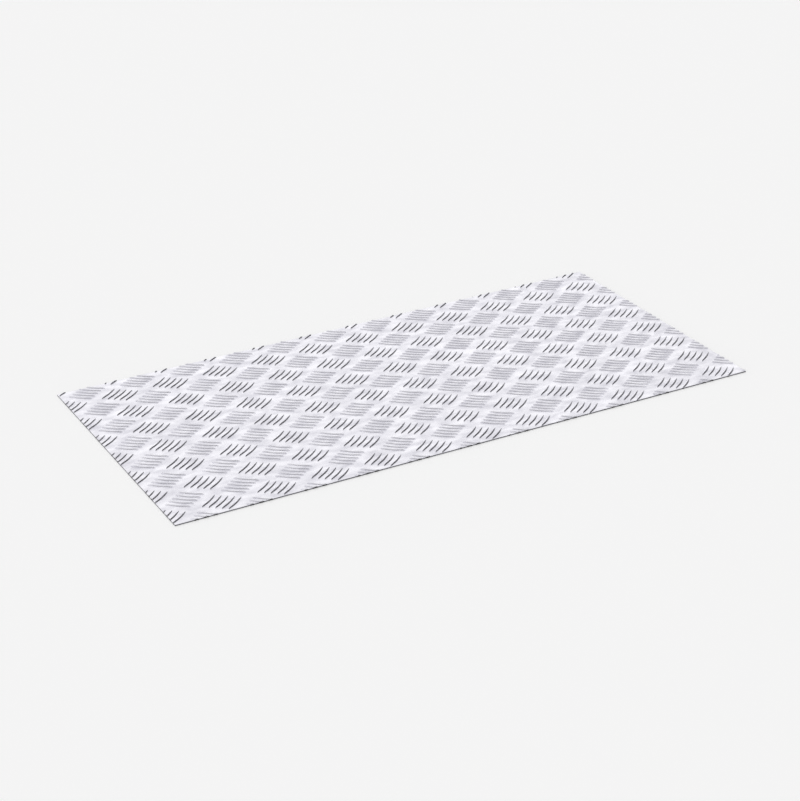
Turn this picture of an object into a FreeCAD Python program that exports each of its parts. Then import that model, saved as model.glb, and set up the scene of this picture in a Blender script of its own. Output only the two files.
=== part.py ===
"""Five-bar tread plate: an aluminium sheet with raised bars rolled into its top face.

The sheet is one rolled piece, so the model is one solid in one node, tread_plate.
Groups of five parallel bars rise and fall in turn across the sheet, each group in a
diamond of its own, and the sheet is sheared to size straight through the pattern.

Frame: millimetres, +Z up. X runs along the sheet's length and Y along its width, with
the origin under the sheet's middle, on the flat face that it lies on.
"""

import FreeCAD, Part
import math
import os

SIZES = (
    ("sheet_length", 1000.0, "sheet, along X"),
    ("sheet_width", 500.0, "sheet, along Y"),
    ("sheet_thickness", 2.0, "metal between the bars"),
    ("bar_height", 1.5, "crown of a bar above the sheet"),
    ("bar_length", 40.0, "a bar's foot, tip to tip"),
    ("bar_width", 5.5, "a bar's foot at its widest"),
    ("flank_slope", 45.0, "degrees that a bar's side leans in from upright"),
    ("bars_per_group", 5, "parallel bars in one group"),
    ("bar_spacing", 10.0, "from bar to bar, along the diamond's other side"),
    ("pitch_x", 87.6, "from a group to the next one like it, along the sheet"),
    ("pitch_y", 69.7, "from a group to the next one like it, across the sheet"),
    ("first_group_x", -2.7, "centre of the first rising group, from the sheet's near left corner"),
    ("first_group_y", 29.0, "the same, along Y"),
    ("pattern_turn", -0.42, "degrees that the pattern is turned on the sheet, as it was sheared"),
)
SMALLEST_OFFCUT = 0.01  # mm3: a sheared bar that leaves less than this on the sheet leaves nothing


def add_dimensions(doc):
    """The spreadsheet that drives the model: one named cell for each size."""
    sheet = doc.addObject("Spreadsheet::Sheet", "dims")
    for row, (alias, value, note) in enumerate(SIZES, 1):
        sheet.set(f"A{row}", alias)
        sheet.set(f"B{row}", str(value))
        sheet.set(f"C{row}", note)
        sheet.setAlias(f"B{row}", alias)
    doc.recompute()


def add_flat_sheet(doc):
    """The flat metal under the bars, centred on the origin and lying on Z = 0."""
    flat = doc.addObject("Part::Box", "flat_sheet")
    flat.setExpression("Length", "dims.sheet_length")
    flat.setExpression("Width", "dims.sheet_width")
    flat.setExpression("Height", "dims.sheet_thickness")
    flat.setExpression("Placement.Base.x", "-dims.sheet_length / 2")
    flat.setExpression("Placement.Base.y", "-dims.sheet_width / 2")
    return flat


def add_bar(doc):
    """One bar along X at the origin: two shallow cones overlap in a pointed oval.

    The cones' feet are two equal arcs through the bar's tips, and their sides lean in
    to the crown, so the bar runs out thin and low at both tips.
    """
    arc_radius = "(dims.bar_length ^ 2 + dims.bar_width ^ 2) / (4 * dims.bar_width)"
    lean = "dims.bar_height * tan(dims.flank_slope * 1 deg)"
    sides = []
    for name, sign in (("bar_left_side", "-"), ("bar_right_side", "")):
        cone = doc.addObject("Part::Cone", name)
        cone.setExpression("Radius1", arc_radius)
        cone.setExpression("Radius2", f"{arc_radius} - {lean}")
        cone.setExpression("Height", "dims.bar_height")
        cone.setExpression("Placement.Base.y", f"{sign}({arc_radius} - dims.bar_width / 2)")
        sides.append(cone)
    bar = doc.addObject("Part::MultiCommon", "bar")
    bar.Shapes = sides
    return bar


def groups_across(first, step, side, reach):
    """The numbers of the groups, counted from the first, that can reach a side this long."""
    lowest = math.floor((-reach - first) / step)
    highest = math.ceil((side + reach - first) / step)
    return range(lowest, highest + 1)

def bar_places(dims):
    """(x, y, turn in degrees) of every bar whose group can reach the sheet."""
    half_x, half_y = dims.pitch_x / 2, dims.pitch_y / 2
    slope = math.atan2(half_y, half_x)
    skew = math.radians(dims.pattern_turn)
    first_x = dims.first_group_x - dims.sheet_length / 2
    first_y = dims.first_group_y - dims.sheet_width / 2
    middle = (dims.bars_per_group - 1) / 2
    drift = abs(math.sin(skew)) * max(dims.sheet_length, dims.sheet_width)
    reach = middle * dims.bar_spacing + dims.bar_length / 2 + drift
    for column in groups_across(dims.first_group_x, half_x, dims.sheet_length, reach):
        for row in groups_across(dims.first_group_y, half_y, dims.sheet_width, reach):
            if (column + row) % 2:
                continue
            rising = column % 2 == 0
            turn = slope if rising else -slope
            for number in range(int(dims.bars_per_group)):
                stacked = (number - middle) * dims.bar_spacing
                along = column * half_x + stacked * math.cos(turn)
                across = row * half_y - stacked * math.sin(turn)
                x = first_x + along * math.cos(skew) - across * math.sin(skew)
                y = first_y + along * math.sin(skew) + across * math.cos(skew)
                yield x, y, math.degrees(turn + skew)


def add_tread_bars(doc, bar):
    """Every bar of the pattern as one compound, each cut off where the sheet is sheared.

    The pattern has hundreds of bars, too many for a pattern feature to fuse one by one,
    so this object's Shape is set here from copies of the bar.
    """
    dims = doc.dims
    half_length, half_width = dims.sheet_length / 2, dims.sheet_width / 2
    corner = FreeCAD.Vector(-half_length, -half_width, dims.sheet_thickness)
    room = Part.makeBox(dims.sheet_length, dims.sheet_width, dims.bar_height, corner)
    upright = FreeCAD.Vector(0, 0, 1)
    reach = dims.bar_length / 2
    whole_bar = bar.Shape
    bars = []
    for x, y, turn in bar_places(dims):
        if abs(x) - reach >= half_length or abs(y) - reach >= half_width:
            continue
        placed = whole_bar.copy()
        spot = FreeCAD.Vector(x, y, dims.sheet_thickness)
        placed.Placement = FreeCAD.Placement(spot, FreeCAD.Rotation(upright, turn))
        if abs(x) + reach <= half_length and abs(y) + reach <= half_width:
            bars += placed.Solids
        else:
            kept = placed.common(room).Solids
            bars += [piece for piece in kept if piece.Volume > SMALLEST_OFFCUT]
    tread = doc.addObject("Part::Feature", "tread_bars")
    tread.Shape = Part.makeCompound(bars)
    return tread


def add_tread_plate(doc, flat, tread):
    """The finished plate: the flat sheet and its bars as the one solid that was rolled."""
    plate = doc.addObject("Part::Fuse", "tread_plate")
    plate.Label = "tread_plate"
    plate.Base = flat
    plate.Tool = tread
    plate.Refine = False
    return plate


def check(doc, parts):
    """Stops the build if an object failed or a part isn't one sound solid."""
    for item in doc.Objects:
        if "Invalid" in item.State or "Error" in item.State:
            raise RuntimeError(f"{item.Name} failed: {item.State}")
    for part in parts:
        shape = part.Shape
        if shape.isNull() or not shape.isValid() or len(shape.Solids) != 1:
            raise RuntimeError(f"{part.Label} isn't one sound solid")


def main():
    doc = FreeCAD.newDocument("tread_plate_document")
    add_dimensions(doc)
    flat = add_flat_sheet(doc)
    bar = add_bar(doc)
    doc.recompute()
    tread = add_tread_bars(doc, bar)
    plate = add_tread_plate(doc, flat, tread)
    doc.recompute()
    parts = [plate]
    check(doc, parts)
    os.makedirs("parts", exist_ok=True)
    for part in parts:
        part.Shape.Solids[0].exportStep(f"parts/{part.Label}.step")
        print(part.Label, len(tread.Shape.Solids), "bars,", len(part.Shape.Faces), "faces,",
              round(part.Shape.Volume), "mm3")


main()
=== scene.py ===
# %% [markdown]
# # Aluminium tread plate
#
# The real object is one sheet of aluminium, 1000 mm long and 500 mm wide. It was rolled
# while it was hot, and the upper roll had small pointed grooves cut in it, so the metal rose
# into them as bars: groups of five, rising and falling in turn. A guillotine then sheared the
# sheet to size, straight through the pattern.
#
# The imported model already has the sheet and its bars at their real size, but with plain flat
# flanks and no finish. This lesson models the same sheet again with softly rounded bars and
# sheared edges, gives it a mill finish, and sets it on a pale studio floor.

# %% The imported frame
import math

import bmesh
import bpy
from mathutils import Matrix, Vector


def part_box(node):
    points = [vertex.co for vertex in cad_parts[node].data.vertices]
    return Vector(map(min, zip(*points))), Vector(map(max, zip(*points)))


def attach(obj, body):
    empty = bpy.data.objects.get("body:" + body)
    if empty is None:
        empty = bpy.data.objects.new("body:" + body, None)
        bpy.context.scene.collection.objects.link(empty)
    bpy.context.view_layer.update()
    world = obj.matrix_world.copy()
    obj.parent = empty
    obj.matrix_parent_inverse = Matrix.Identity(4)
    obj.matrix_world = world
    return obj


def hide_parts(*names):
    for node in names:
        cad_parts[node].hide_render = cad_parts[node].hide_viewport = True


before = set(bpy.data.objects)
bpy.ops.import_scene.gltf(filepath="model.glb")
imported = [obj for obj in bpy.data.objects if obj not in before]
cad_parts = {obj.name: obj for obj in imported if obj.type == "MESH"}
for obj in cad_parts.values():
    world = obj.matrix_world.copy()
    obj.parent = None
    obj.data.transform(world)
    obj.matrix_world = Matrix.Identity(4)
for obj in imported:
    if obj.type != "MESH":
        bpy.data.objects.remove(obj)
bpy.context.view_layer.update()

MM = 0.001
PLATE_NODE = "tread_plate"
plate_low, plate_high = (Vector(corner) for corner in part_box(PLATE_NODE))
plate_length = plate_high.x - plate_low.x
plate_width = plate_high.y - plate_low.y
print(f"plate {plate_length / MM:.1f} x {plate_width / MM:.1f} x {plate_high.z / MM:.2f} mm")

# %% [markdown]
# ## The sizes of the pattern
#
# A tread pattern is named by its bars: this one is the five-bar pattern. The bars of one group
# lie side by side in a diamond, and the diamonds cover the sheet like floor tiles. Only a few
# sizes drive it all: the bar, the gap from bar to bar, and the two pitches, which are the
# diamond's width and height. The metal between the bars is 2 mm thick, and the crowns stand
# 1.5 mm above it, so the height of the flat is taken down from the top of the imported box.

# %% Sizes of the bars and the diamonds
BAR_LENGTH = 40 * MM
BAR_WIDTH = 5.5 * MM
BAR_HEIGHT = 1.5 * MM
BARS_PER_GROUP = 5
BAR_SPACING = 10 * MM
PITCH_X = 87.6 * MM
PITCH_Y = 69.7 * MM
FIRST_GROUP_X = -2.7 * MM
FIRST_GROUP_Y = 29 * MM
PATTERN_TURN = math.radians(-0.42)

flat_top = plate_high.z - BAR_HEIGHT
diamond_slope = math.atan2(PITCH_Y, PITCH_X)
diamond_side = math.hypot(PITCH_X, PITCH_Y) / 2
print(f"flat metal {flat_top / MM:.2f} mm, bars at {math.degrees(diamond_slope):.1f} degrees")

# %% [markdown]
# ## Picking things up
#
# Every operator works on whatever is selected, as it does by hand. Loading the frame leaves
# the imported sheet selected, so the first habit is to let go of everything, then pick the one
# piece that is worked on. Inside edit mode the faces and edges are picked by where they are.

# %% Helpers for selecting
def pick(*pieces):
    """Selects these pieces and nothing else, with the first of them active."""
    bpy.ops.object.select_all(action="DESELECT")
    for piece in pieces:
        piece.select_set(True)
    bpy.context.view_layer.objects.active = pieces[0]


def edit(piece, select="SELECT"):
    """Opens a piece in edit mode with all of it selected, or none of it."""
    pick(piece)
    bpy.ops.object.mode_set(mode="EDIT")
    bpy.ops.mesh.select_mode(type="VERT")
    bpy.ops.mesh.select_all(action=select)


def pick_open_edges():
    """In edit mode, selects every edge that has a face on one side only."""
    bpy.ops.mesh.select_mode(type="EDGE")
    bpy.ops.mesh.select_all(action="DESELECT")
    bpy.ops.mesh.select_non_manifold(
        extend=False, use_wire=True, use_boundary=True,
        use_multi_face=False, use_non_contiguous=False, use_verts=False)


def close_edit():
    bpy.ops.object.mode_set(mode="OBJECT")


def apply_modifiers(piece):
    pick(piece)
    for modifier in list(piece.modifiers):
        bpy.ops.object.modifier_apply(modifier=modifier.name)


def tell(piece):
    """Prints how big a piece's mesh is."""
    size = piece.dimensions / MM
    faces = len(piece.data.polygons)
    print(f"{piece.name}: {faces} faces, {size.x:.2f} x {size.y:.2f} x {size.z:.2f} mm")


# %% [markdown]
# ## One bar, from two arcs
#
# The groove in the roll is ground with a round wheel, so a bar's foot is bounded by two equal
# arcs that meet in a point at each end. Spinning a single point about each arc's centre draws
# that outline exactly, which scaling a circle would not: an ellipse has blunt ends.
#
# The flanks come from lifting the outline in four steps, each a little smaller than the last.
# The first steps are steep and the last are nearly flat, which makes the round crown. Every
# ring is shorter as well as narrower, so that the bar also runs out low at its two tips. There
# are 884 bars, so one bar has only about fifty faces.

# %% The outline of a bar's foot
ARC_STEPS = 6
SAME_POINT = 0.01 * MM
arc_radius = (BAR_LENGTH ** 2 + BAR_WIDTH ** 2) / (4 * BAR_WIDTH)
arc_angle = 2 * math.asin(BAR_LENGTH / 2 / arc_radius)
centre_offset = arc_radius - BAR_WIDTH / 2


def add_bar_outline():
    """A flat face in the shape of a bar's foot, along X, at the height of the flat metal."""
    bpy.ops.object.select_all(action="DESELECT")
    bpy.ops.mesh.primitive_plane_add(size=BAR_WIDTH, location=(0, 0, 0))
    bar = bpy.context.object
    bar.name = "tread_bar"
    edit(bar)
    bpy.ops.mesh.merge(type="CENTER")
    bpy.ops.transform.translate(value=(-BAR_LENGTH / 2, 0, 0))
    for side in (-1, 1):
        bpy.ops.mesh.spin(
            steps=ARC_STEPS, angle=arc_angle,
            center=(0, side * centre_offset, 0), axis=(0, 0, 1))
    bpy.ops.mesh.select_all(action="SELECT")
    bpy.ops.mesh.remove_doubles(threshold=SAME_POINT)
    bpy.ops.mesh.edge_face_add()
    bpy.ops.mesh.normals_make_consistent(inside=False)
    close_edit()
    return bar


bar = add_bar_outline()
tell(bar)

# %% Lifting the flanks and the crown
# Each ring: its height, then its width and its length as shares of the foot's.
FLANK_RINGS = (
    (0.45 * MM, 0.85, 0.97),
    (1.05 * MM, 0.62, 0.92),
    (1.40 * MM, 0.34, 0.84),
    (BAR_HEIGHT, 0.10, 0.72),
)


def raise_bar(bar):
    """Extrudes the foot up through its rings into a rounded bar."""
    edit(bar)
    bpy.ops.mesh.select_mode(type="FACE")
    bpy.ops.mesh.select_all(action="SELECT")
    height, width, length = 0, 1, 1
    for next_height, next_width, next_length in FLANK_RINGS:
        bpy.ops.mesh.extrude_region_move(
            TRANSFORM_OT_translate={"value": (0, 0, next_height - height)})
        bpy.ops.transform.resize(
            value=(next_length / length, next_width / width, 1), center_override=(0, 0, 0))
        height, width, length = next_height, next_width, next_length
    bpy.ops.mesh.quads_convert_to_tris(quad_method="BEAUTY", ngon_method="BEAUTY")
    bpy.ops.mesh.tris_convert_to_quads()
    close_edit()


raise_bar(bar)
tell(bar)

# %% [markdown]
# ## A diamond of five bars
#
# The bar is turned to the slope of the diamond's side and copied five times across it. The flat
# metal between the bars is then filled in from the diamond's outline to the bars' feet, so that
# the tile is one skin, as the rolled metal is. Bars that only stood in a flat sheet would leave
# hidden faces inside it. Each tile ends exactly on the diamond's outline, so tiles meet without
# a seam.

# %% Turning and copying the bar
def copy_of(piece, name):
    """A copy with a mesh of its own."""
    pick(piece)
    bpy.ops.object.duplicate(linked=False)
    copy = bpy.context.object
    copy.name = name
    return copy


def settle(piece):
    """Puts an object's place, turn and scale into its mesh, so that it sits at the origin."""
    pick(piece)
    bpy.ops.object.transform_apply(location=True, rotation=True, scale=True)


def add_group(bar):
    """Five copies of the bar, rising to the right, stacked along the falling side."""
    middle = (BARS_PER_GROUP - 1) / 2
    bars = []
    for number in range(BARS_PER_GROUP):
        along = (number - middle) * BAR_SPACING
        copy = copy_of(bar, f"group_bar_{number + 1}")
        copy.rotation_euler.z = diamond_slope
        copy.location = (along * math.cos(diamond_slope), -along * math.sin(diamond_slope), 0)
        settle(copy)
        bars.append(copy)
    pick(*bars)
    bpy.ops.object.join()
    return bpy.context.object


def add_diamond_outline():
    """The diamond's four edges with no face: a square stood on its corner and stretched."""
    bpy.ops.object.select_all(action="DESELECT")
    bpy.ops.mesh.primitive_circle_add(vertices=4, radius=0.5, fill_type="NOTHING")
    outline = bpy.context.object
    outline.scale = (PITCH_X, PITCH_Y, 1)
    settle(outline)
    return outline


def add_rising_tile(bar):
    """The group's bars and the flat metal of their diamond, as one open skin."""
    group = add_group(bar)
    outline = add_diamond_outline()
    pick(group, outline)
    bpy.ops.object.join()
    tile = bpy.context.object
    tile.name = "rising_tile"
    edit(tile, "DESELECT")
    pick_open_edges()
    bpy.ops.mesh.fill(use_beauty=True)
    bpy.ops.mesh.select_all(action="SELECT")
    bpy.ops.mesh.normals_make_consistent(inside=False)
    bpy.ops.transform.translate(value=(0, 0, flat_top))
    close_edit()
    return tile


rising_tile = add_rising_tile(bar)
tell(rising_tile)
pick(bar)
bpy.ops.object.delete()

# %% The falling diamond is its mirror image
def add_falling_tile(rising):
    """The same diamond seen in a mirror. A mirrored mesh is inside out, so it is turned back."""
    tile = copy_of(rising, "falling_tile")
    tile.scale = (-1, 1, 1)
    settle(tile)
    edit(tile)
    bpy.ops.mesh.normals_make_consistent(inside=False)
    close_edit()
    return tile


falling_tile = add_falling_tile(rising_tile)
tell(falling_tile)

# %% [markdown]
# ## Covering the sheet
#
# The roll repeats its pattern again and again, which is what an array does: one along the sheet
# and one across it for the rising diamonds, and the same for the falling ones, half a pitch
# over both ways. The arrays run past the sheet on every side. Then the shared outlines are
# merged, and the skin is cut off at the four edges, as the guillotine cuts it.

# %% Arrays of both diamonds
SHEARED_ROLLOVER = 0.15 * MM
SPARE_GROUPS = 2


def groups_across(first, pitch, side):
    """The first place counted from the first group, and the number that covers the side."""
    before = math.ceil(first / pitch) + SPARE_GROUPS
    after = math.ceil((side - first) / pitch) + SPARE_GROUPS
    return -before * pitch, before + after


def cover(tile, shift_x, shift_y):
    """Repeats a tile over the whole sheet and a little beyond it, from the first group."""
    start_x, columns = groups_across(FIRST_GROUP_X, PITCH_X, plate_length)
    start_y, rows = groups_across(FIRST_GROUP_Y, PITCH_Y, plate_width)
    tile.location = (start_x + shift_x, start_y + shift_y, 0)
    settle(tile)
    for name, count, step in (("along", columns, (PITCH_X, 0, 0)), ("across", rows, (0, PITCH_Y, 0))):
        array = tile.modifiers.new(name, "ARRAY")
        array.count = count
        array.use_relative_offset = False
        array.use_constant_offset = True
        array.constant_offset_displace = step
    apply_modifiers(tile)
    print(f"{tile.name}: {columns} x {rows} diamonds")


cover(rising_tile, 0, 0)
cover(falling_tile, PITCH_X / 2, PITCH_Y / 2)
pick(rising_tile, falling_tile)
bpy.ops.object.join()
plate = bpy.context.object
plate.name = "rolled_tread_plate"
plate.rotation_euler.z = PATTERN_TURN
plate.location = (plate_low.x + FIRST_GROUP_X, plate_low.y + FIRST_GROUP_Y, 0)
settle(plate)

# %% Shearing the four edges
SAME_SEAM_POINT = 0.02 * MM
SHEAR_TOLERANCE = 0.001 * MM


def shear(piece, place, outwards):
    """Cuts off all of a skin that lies past a plane."""
    edit(piece)
    bpy.ops.mesh.bisect(
        plane_co=place, plane_no=outwards, clear_outer=True, use_fill=False,
        threshold=SHEAR_TOLERANCE)
    close_edit()


edit(plate)
bpy.ops.mesh.remove_doubles(threshold=SAME_SEAM_POINT)
close_edit()
inner_low = plate_low + Vector((SHEARED_ROLLOVER, SHEARED_ROLLOVER, 0))
inner_high = plate_high - Vector((SHEARED_ROLLOVER, SHEARED_ROLLOVER, 0))
shear(plate, inner_low, (-1, 0, 0))
shear(plate, inner_low, (0, -1, 0))
shear(plate, inner_high, (1, 0, 0))
shear(plate, inner_high, (0, 1, 0))
tell(plate)

# %% [markdown]
# ## The sheared edge and the underside
#
# A guillotine's blade first drags the top surface down over a tiny radius, then cuts a smooth
# band, and then the metal breaks. The edge is made in that order: the open rim is extruded
# outwards and down for the rollover, then straight down, and then in a little for the lower
# corner. One face closes the underside, which was rolled by a plain roll and is flat.

# %% Extruding the rim down to the floor
LOWER_CORNER = 0.12 * MM


def grow_rim(sign, amount):
    """Moves the selected rim outwards or inwards by the same amount on all four sides."""
    across_x = 1 + sign * amount / (plate_length / 2)
    across_y = 1 + sign * amount / (plate_width / 2)
    bpy.ops.transform.resize(value=(across_x, across_y, 1), center_override=(0, 0, 0))


def flatten_rim(height):
    """Brings the whole selected rim to one height."""
    bpy.ops.transform.resize(value=(1, 1, 0), center_override=(0, 0, height))


def add_edges_and_underside(plate):
    edit(plate, "DESELECT")
    pick_open_edges()
    bpy.ops.mesh.extrude_edges_move(
        TRANSFORM_OT_translate={"value": (0, 0, -SHEARED_ROLLOVER)})
    grow_rim(1, SHEARED_ROLLOVER)
    bpy.ops.mesh.extrude_edges_move(TRANSFORM_OT_translate={"value": (0, 0, -SHEARED_ROLLOVER)})
    flatten_rim(LOWER_CORNER)
    bpy.ops.mesh.extrude_edges_move(TRANSFORM_OT_translate={"value": (0, 0, -LOWER_CORNER)})
    flatten_rim(0)
    grow_rim(-1, LOWER_CORNER)
    bpy.ops.mesh.edge_face_add()
    bpy.ops.mesh.select_all(action="SELECT")
    bpy.ops.mesh.normals_make_consistent(inside=False)
    close_edit()


def count_open_edges(piece):
    mesh = bmesh.new()
    mesh.from_mesh(piece.data)
    count = sum(not edge.is_manifold for edge in mesh.edges)
    volume = mesh.calc_volume(signed=True)
    mesh.free()
    return count, volume


add_edges_and_underside(plate)
tell(plate)
open_edges, volume = count_open_edges(plate)
print(f"{open_edges} open edges, {volume / MM ** 3:.0f} mm3 of metal")

# %% [markdown]
# ## Smooth bars on a flat sheet
#
# Smooth shading alone would bend the light on the flat metal, because each foot shares its
# points with the flank above it. Weighting the normals by face area gives those points the
# flat's own direction, so the flat stays flat, and the flank turns up from it through what looks
# like a small fillet. The sheared edges stay crisp, because only gentle corners are smoothed.

# %% Weighted normals
SMOOTH_UNDER = math.radians(62)
EVEN_WEIGHT = 50

pick(plate)
bpy.ops.object.shade_smooth_by_angle(angle=SMOOTH_UNDER, keep_sharp_edges=True)
weighting = plate.modifiers.new("flat stays flat", "WEIGHTED_NORMAL")
weighting.mode = "FACE_AREA"
weighting.keep_sharp = True
weighting.weight = EVEN_WEIGHT
apply_modifiers(plate)
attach(plate, "root")
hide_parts(PLATE_NODE)
triangles = sum(len(face.vertices) - 2 for face in plate.data.polygons)
print(f"{plate.name}: {triangles} triangles")

# %% [markdown]
# ## Mill-finish aluminium
#
# This is sheet aluminium just as it left the mill: not brushed, polished or anodised. The rolls
# leave faint lines along the sheet and a soft, slightly cloudy shine, and the metal is a very
# pale grey with a trace of violet. The crowns of the bars touch every other sheet in the pack,
# so they are rubbed a little brighter, and handling leaves a few short fine scratches.
#
# The finish could be a picture of real metal, but a pattern of nodes has no edges and no
# repeats. Everything reads Object coordinates, which are metres on the sheet, so each size
# below is a real one in millimetres.

# %% Helpers for materials
def linear(hex_colour):
    """A colour written as sRGB hex, such as #EFEEF4, in the linear values that nodes use."""
    channels = (int(hex_colour[i:i + 2], 16) / 255 for i in (1, 3, 5))
    bent = (c / 12.92 if c <= 0.04045 else ((c + 0.055) / 1.055) ** 2.4 for c in channels)
    return (*bent, 1.0)


def per_metre(*sizes):
    """The scale that gives a pattern features of this length, width and depth."""
    return tuple(1 / size for size in sizes)


def add_node(tree, kind, inputs=None, **settings):
    """Adds a node. An input is a plain value, a socket, or a node for its first output."""
    new = tree.nodes.new(kind)
    for name, value in settings.items():
        setattr(new, name, value)
    for name, value in (inputs or {}).items():
        if isinstance(value, bpy.types.Node):
            value = value.outputs[0]
        if isinstance(value, bpy.types.NodeSocket):
            tree.links.new(value, new.inputs[name])
        else:
            new.inputs[name].default_value = value
    return new


def new_material(name):
    material = bpy.data.materials.new(name)
    material.use_nodes = True
    material.node_tree.nodes.clear()
    return material


# %% Sizes, colours and roughness of the finish
GRAIN_WIDTH = 0.9 * MM
GRAIN_LENGTH = 70 * MM
CLOUD_SIZE = 14 * MM
WAVE_SIZE = 100 * MM
WAVE_DEPTH = 4.0 * MM
MOTTLE_SIZE = 5 * MM
MOTTLE_DEPTH = 0.22 * MM
SCRATCH_WIDTH = 0.5 * MM
SCRATCH_LENGTH = 16 * MM
SCRATCH_TURNS = (24, -51, 83)
SHEAR_MARK_WIDTH = 0.5 * MM
CLOUD_DEPTH = 0.07 * MM
GRAIN_DEPTH = 0.01 * MM
SCRATCH_DEPTH = 0.008 * MM
SHEAR_MARK_DEPTH = 0.12 * MM
# Of a noise's values from 0 to 1: where a pattern starts to show, and where it is full.
CLOUD_RANGE = (0.35, 0.7)
CLOUD_ROUGH_RANGE = (0.3, 0.7)
SCRATCH_RANGE = (0.72, 0.78)
# Heights above the flat metal: the painted shade at a bar's foot comes in, then fades out.
FOOT_SHADE_COMES_IN = (0.02 * MM, 0.3 * MM)
FOOT_SHADE_FADES = (0.4 * MM, 1.0 * MM)
FOOT_SHADE_SHARE = 0.6
CROWN_STARTS = 0.7 * BAR_HEIGHT
METAL = "#F5F4FA"
METAL_IN_CLOUDS = "#DDDCE4"
# Painted shade: the grey drawn into the crease at each bar's foot.
PAINTED_FOOT_SHADE = "#CFCED8"
# Partly the duller grey of cut metal, partly painted shade: darker still, for the thin shadow line
# along the sheet's edge.
SHEARED_METAL_AND_PAINTED_SHADE = "#8C8C92"
ROUGH_BRIGHT = 0.23
ROUGH_CLOUDED = 0.34
GRAIN_ROUGHER = 0.06
CROWN_SMOOTHER = 0.06
SCRATCH_ROUGHER = 0.12
SHEARED_ROUGHER = 0.2
# Input and output numbers of a colour mix, whose sockets share their names with other kinds.
SHARE, FIRST, SECOND, MIXED = 0, 6, 7, 2


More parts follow.
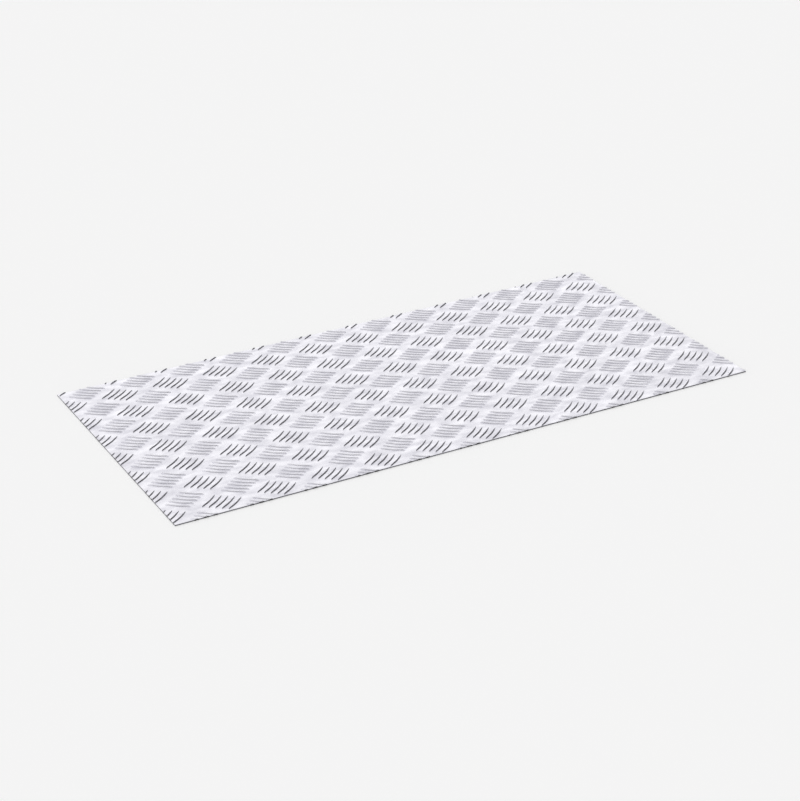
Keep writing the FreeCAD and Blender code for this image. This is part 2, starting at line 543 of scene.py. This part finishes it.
# %% Where each part of the finish lies
def add_mill_finish():
    material = new_material("mill_finish_aluminium")
    tree = material.node_tree
    place = add_node(tree, "ShaderNodeTexCoord").outputs["Object"]
    height = add_node(tree, "ShaderNodeSeparateXYZ", {"Vector": place}).outputs["Z"]

    along_rolling = add_node(tree, "ShaderNodeMapping", {
        "Vector": place, "Scale": per_metre(GRAIN_LENGTH, GRAIN_WIDTH, GRAIN_WIDTH)})
    grain = add_node(tree, "ShaderNodeTexNoise", {
        "Vector": along_rolling, "Scale": 1.0, "Detail": 3.0})
    cloud_place = add_node(tree, "ShaderNodeMapping", {
        "Vector": place, "Scale": per_metre(2 * CLOUD_SIZE, CLOUD_SIZE, CLOUD_SIZE)})
    clouds = add_node(tree, "ShaderNodeTexNoise", {
        "Vector": cloud_place, "Scale": 1.0, "Detail": 4.0})
    waves = add_node(tree, "ShaderNodeTexNoise", {
        "Vector": place, "Scale": 1 / WAVE_SIZE, "Detail": 1.0})
    mottle = add_node(tree, "ShaderNodeTexNoise", {
        "Vector": place, "Scale": 1 / MOTTLE_SIZE, "Detail": 2.0})

    scratched = 0.0
    for degrees in SCRATCH_TURNS:
        turned = add_node(tree, "ShaderNodeMapping", {
            "Vector": place, "Rotation": (0, 0, math.radians(degrees)),
            "Scale": per_metre(SCRATCH_LENGTH, SCRATCH_WIDTH, SCRATCH_LENGTH)})
        streaks = add_node(tree, "ShaderNodeTexNoise", {
            "Vector": turned, "Scale": 1.0, "Detail": 0.0})
        lines = add_node(tree, "ShaderNodeMapRange", {
            "Value": streaks, "From Min": SCRATCH_RANGE[0], "From Max": SCRATCH_RANGE[1]})
        scratched = add_node(
            tree, "ShaderNodeMath", {0: scratched, 1: lines}, operation="MAXIMUM")

    crown = add_node(tree, "ShaderNodeMapRange", {
        "Value": height, "From Min": flat_top + CROWN_STARTS, "From Max": plate_high.z},
        interpolation_type="SMOOTHSTEP")
    # The painted shade at each bar's foot: a grey band just above the flat, where the flank rises
    # from it.
    above_flat = add_node(tree, "ShaderNodeMapRange", {
        "Value": height, "From Min": flat_top + FOOT_SHADE_COMES_IN[0],
        "From Max": flat_top + FOOT_SHADE_COMES_IN[1]})
    low_on_bar = add_node(tree, "ShaderNodeMapRange", {
        "Value": height, "From Min": flat_top + FOOT_SHADE_FADES[0],
        "From Max": flat_top + FOOT_SHADE_FADES[1], "To Min": FOOT_SHADE_SHARE, "To Max": 0.0})
    foot = add_node(tree, "ShaderNodeMath", {0: above_flat, 1: low_on_bar}, operation="MULTIPLY")
    below_rim = add_node(tree, "ShaderNodeMapRange", {
        "Value": height, "From Min": flat_top - 2.5 * SHEARED_ROLLOVER,
        "From Max": flat_top - SHEARED_ROLLOVER, "To Min": 1.0, "To Max": 0.0})
    above_floor = add_node(tree, "ShaderNodeMapRange", {
        "Value": height, "From Min": 0.0, "From Max": 0.5 * LOWER_CORNER})
    sheared = add_node(
        tree, "ShaderNodeMath", {0: below_rim, 1: above_floor}, operation="MULTIPLY")
    mark_place = add_node(tree, "ShaderNodeMapping", {
        "Vector": place,
        "Scale": per_metre(SHEAR_MARK_WIDTH, SHEAR_MARK_WIDTH, 12 * SHEAR_MARK_WIDTH)})
    marks = add_node(tree, "ShaderNodeTexNoise", {
        "Vector": mark_place, "Scale": 1.0, "Detail": 2.0})
    shear_marks = add_node(tree, "ShaderNodeMath", {0: marks, 1: sheared}, operation="MULTIPLY")

    # Colour: bright metal, greyer in the clouds, painted shade at the bars' feet, and darker where
    # sheared, partly cut metal and partly painted shade.
    cloud_share = add_node(tree, "ShaderNodeMapRange", {
        "Value": clouds, "From Min": CLOUD_RANGE[0], "From Max": CLOUD_RANGE[1]})
    cloudy = add_node(tree, "ShaderNodeMix", {
        SHARE: cloud_share, FIRST: linear(METAL), SECOND: linear(METAL_IN_CLOUDS)},
        data_type="RGBA")
    with_painted_foot_shade = add_node(tree, "ShaderNodeMix", {
        SHARE: foot, FIRST: cloudy.outputs[MIXED], SECOND: linear(PAINTED_FOOT_SHADE)},
        data_type="RGBA")
    colour = add_node(tree, "ShaderNodeMix", {
        SHARE: sheared, FIRST: with_painted_foot_shade.outputs[MIXED], SECOND: linear(SHEARED_METAL_AND_PAINTED_SHADE)},
        data_type="RGBA")

    # Roughness: grain and clouds vary it, rubbing polishes the crowns, and scratches and the
    # sheared edges are duller.
    rough = add_node(tree, "ShaderNodeMapRange", {
        "Value": clouds, "From Min": CLOUD_ROUGH_RANGE[0], "From Max": CLOUD_ROUGH_RANGE[1],
        "To Min": ROUGH_BRIGHT, "To Max": ROUGH_CLOUDED})
    for source, change in ((grain, GRAIN_ROUGHER), (crown, -CROWN_SMOOTHER),
                           (scratched, SCRATCH_ROUGHER), (sheared, SHEARED_ROUGHER)):
        rough = add_node(tree, "ShaderNodeMath", {
            0: source, 1: change, 2: rough}, operation="MULTIPLY_ADD")

    # Relief, from the widest to the finest. Each bump stands on the one before it.
    relief = add_node(tree, "ShaderNodeBump", {
        "Height": waves, "Strength": 1.0, "Distance": WAVE_DEPTH})
    for source, depth in ((mottle, MOTTLE_DEPTH), (clouds, CLOUD_DEPTH), (grain, GRAIN_DEPTH),
                          (scratched, -SCRATCH_DEPTH), (shear_marks, SHEAR_MARK_DEPTH)):
        relief = add_node(tree, "ShaderNodeBump", {
            "Height": source, "Normal": relief, "Strength": 1.0, "Distance": depth})

    metal = add_node(tree, "ShaderNodeBsdfPrincipled", {
        "Base Color": colour.outputs[MIXED], "Metallic": 1.0, "Roughness": rough,
        "Normal": relief})
    add_node(tree, "ShaderNodeOutputMaterial", {"Surface": metal})
    return material


mill_finish = add_mill_finish()
plate.data.materials.clear()
plate.data.materials.append(mill_finish)
print(f"{mill_finish.name}: {len(mill_finish.node_tree.nodes)} nodes")

# %% [markdown]
# ## A pale studio
#
# Bare metal shows what stands around it more than it shows its own colour. The flat metal
# mirrors the far wall, which is bright. The bars that rise to the right turn one flank to a
# dark card low on the right, and the bars that fall turn theirs to a paler card high up on the
# left of the camera, so the two kinds of group look different. Walls, ceiling and cards are
# painted in the world, by direction, because real cards would stand in the way of a camera that
# goes round the sheet.

# %% The floor
FLOOR_SIDE = 30.0
PALE = "#F8F8F8"
FLOOR_PAINT = "#DCDCDC"
FLOOR_GLOW = 0.30


def add_floor():
    """Matt paint that keeps the sheet's shadow, with a glow that only the camera sees."""
    bpy.ops.object.select_all(action="DESELECT")
    bpy.ops.mesh.primitive_plane_add(size=FLOOR_SIDE, location=(0, 0, plate_low.z))
    floor = bpy.context.object
    floor.name = "studio_floor"
    settle(floor)
    material = new_material("pale_studio_floor")
    tree = material.node_tree
    paint = add_node(tree, "ShaderNodeBsdfDiffuse", {"Color": linear(FLOOR_PAINT)})
    seen = add_node(tree, "ShaderNodeLightPath").outputs["Is Camera Ray"]
    strength = add_node(
        tree, "ShaderNodeMath", {0: seen, 1: FLOOR_GLOW}, operation="MULTIPLY")
    glow = add_node(tree, "ShaderNodeEmission", {"Color": linear(PALE), "Strength": strength})
    both = add_node(tree, "ShaderNodeAddShader", {0: paint, 1: glow})
    add_node(tree, "ShaderNodeOutputMaterial", {"Surface": both})
    floor.data.materials.append(material)
    return floor


floor = add_floor()
print(f"{floor.name}: {FLOOR_SIDE:.0f} m square")

# %% The walls, painted by direction
WALL_FOOT = 1.30
CEILING = 0.86
WALL_FOOT_RISE = math.sin(math.radians(5))
CEILING_RISE = math.sin(math.radians(50))
# Each card: the direction it hangs in, its darkness, and how far off it starts and is full.
DARK_CARDS = (
    ((0.88, -0.16, 0.44), 0.07, math.radians(57), math.radians(22)),
    ((-0.52, -0.38, 0.76), 0.42, math.radians(27), math.radians(6)),
)


def add_world():
    world = bpy.data.worlds.new("studio_walls")
    bpy.context.scene.world = world
    world.use_nodes = True
    tree = world.node_tree
    tree.nodes.clear()
    direction = add_node(tree, "ShaderNodeTexCoord").outputs["Generated"]
    rise = add_node(tree, "ShaderNodeSeparateXYZ", {"Vector": direction}).outputs["Z"]
    level = add_node(tree, "ShaderNodeMapRange", {
        "Value": rise, "From Min": WALL_FOOT_RISE, "From Max": CEILING_RISE,
        "To Min": WALL_FOOT, "To Max": CEILING})
    for compass, darkness, start, full in DARK_CARDS:
        facing = add_node(tree, "ShaderNodeVectorMath", {
            0: direction, 1: Vector(compass).normalized()}, operation="DOT_PRODUCT")
        card = add_node(tree, "ShaderNodeMapRange", {
            "Value": facing.outputs["Value"], "From Min": math.cos(start),
            "From Max": math.cos(full), "To Min": 1.0, "To Max": darkness},
            interpolation_type="SMOOTHSTEP")
        level = add_node(tree, "ShaderNodeMath", {0: level, 1: card}, operation="MULTIPLY")
    seen = add_node(tree, "ShaderNodeLightPath").outputs["Is Camera Ray"]
    studio = add_node(tree, "ShaderNodeBackground", {"Color": linear("#FFFFFF"), "Strength": level})
    backdrop = add_node(tree, "ShaderNodeBackground", {"Color": linear(PALE), "Strength": 1.0})
    chosen = add_node(tree, "ShaderNodeMixShader", {0: seen, 1: studio, 2: backdrop})
    add_node(tree, "ShaderNodeOutputWorld", {"Surface": chosen})


add_world()
print(f"{len(DARK_CARDS)} dark cards on the walls")

# %% [markdown]
# ## The camera
#
# The sheet is seen from its near left side, from about 1.4 metres up, through a long
# lens that keeps its edges nearly parallel. Depth of field stays off.

# %% Placing the camera
CAMERA_TURN = math.radians(-27.33)
CAMERA_RISE = math.radians(25.78)
CAMERA_ROLL = math.radians(-1.65)
CAMERA_DISTANCE = 3237 * MM
CAMERA_LENS = 91.3
SENSOR_WIDTH = 36.0
CAMERA_TARGET = Vector((-32.3 * MM, -53 * MM, 0))


def add_camera():
    data = bpy.data.cameras.new("studio_camera")
    data.sensor_fit = "HORIZONTAL"
    data.sensor_width = SENSOR_WIDTH
    data.lens = CAMERA_LENS
    camera = bpy.data.objects.new("studio_camera", data)
    bpy.context.scene.collection.objects.link(camera)
    back = Vector((math.cos(CAMERA_RISE) * math.sin(CAMERA_TURN),
                   -math.cos(CAMERA_RISE) * math.cos(CAMERA_TURN),
                   math.sin(CAMERA_RISE)))
    level = back.to_track_quat("Z", "Y").to_matrix()
    turned = level @ Matrix.Rotation(CAMERA_ROLL, 3, "Z")
    camera.matrix_world = Matrix.LocRotScale(CAMERA_TARGET + back * CAMERA_DISTANCE, turned, None)
    bpy.context.scene.camera = camera
    return camera


camera = add_camera()
place = camera.location / MM
print(f"camera at {place.x:.0f}, {place.y:.0f}, {place.z:.0f} mm")

# %% Soft light from above
LAMP_ENERGY = 0.8
LAMP_SOFTNESS = math.radians(60)
LAMP_FROM = Vector((0.25, 0.80, 0.62))


def add_soft_lamp():
    data = bpy.data.lights.new("soft_overhead_lamp", "SUN")
    data.energy = LAMP_ENERGY
    data.angle = LAMP_SOFTNESS
    lamp = bpy.data.objects.new("soft_overhead_lamp", data)
    lamp.rotation_mode = "QUATERNION"
    lamp.rotation_quaternion = LAMP_FROM.to_track_quat("Z", "Y")
    lamp.visible_glossy = False
    bpy.context.scene.collection.objects.link(lamp)


add_soft_lamp()
print(f"soft lamp of strength {LAMP_ENERGY}")
bpy.context.scene.view_settings.view_transform = "Standard"
